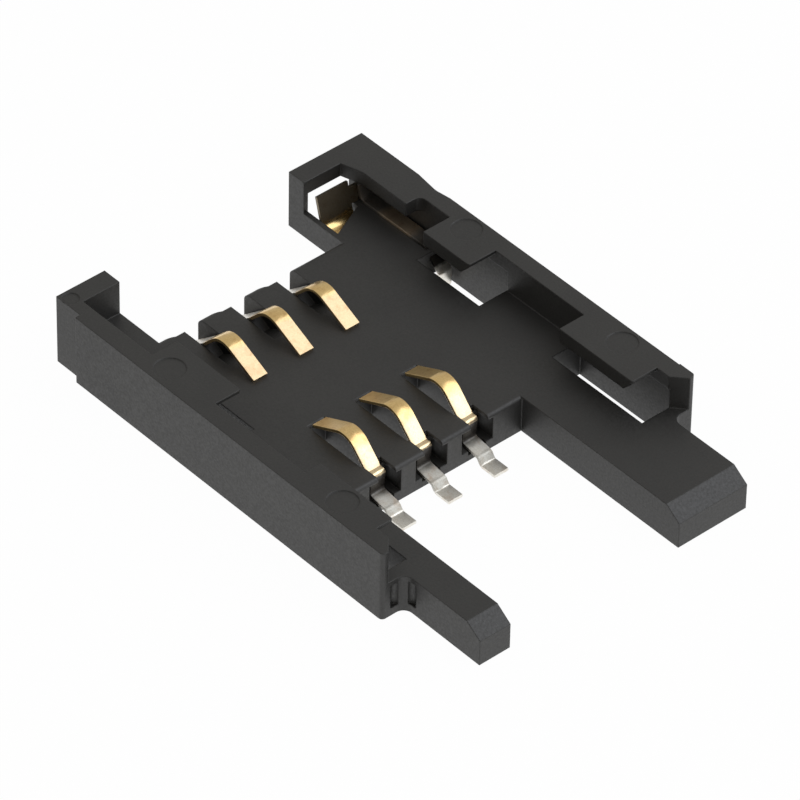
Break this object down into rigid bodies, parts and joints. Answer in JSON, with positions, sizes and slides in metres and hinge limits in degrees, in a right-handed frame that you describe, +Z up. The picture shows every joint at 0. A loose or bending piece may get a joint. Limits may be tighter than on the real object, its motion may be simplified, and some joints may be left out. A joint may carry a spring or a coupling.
{
  "type": "chip card socket",
  "caption": "Surface mounted socket for a small chip card: a black moulded floor between lipped side rails, sprung gold contacts, a card switch at the back and guide arms at the mouth.",
  "frame": {"origin": "middle of the outline in plan, on the circuit board's face", "axes": "+X from the card stop towards the mouth, where the card goes in and comes out; +Y from the left rail towards the right rail with the switch; +Z up from the board"},
  "size_m": [0.0256, 0.0172, 0.0036],
  "materials": {
    "black_moulding": "matte, with a fine grain",
    "gold_plated_strip": "satin gold plating on the arch, pale tin plating on the tail and foot",
    "tin_plated_strip": "satin tin plating"
  },
  "bodies": {
    "root": {"housing": "black_moulding", "rear_contact_1": "gold_plated_strip", "rear_contact_2": "gold_plated_strip", "rear_contact_3": "gold_plated_strip", "front_contact_1": "gold_plated_strip", "front_contact_2": "gold_plated_strip", "front_contact_3": "gold_plated_strip", "switch_flap": "gold_plated_strip", "switch_fixed_contact": "tin_plated_strip"}
  },
  "joints": []
}
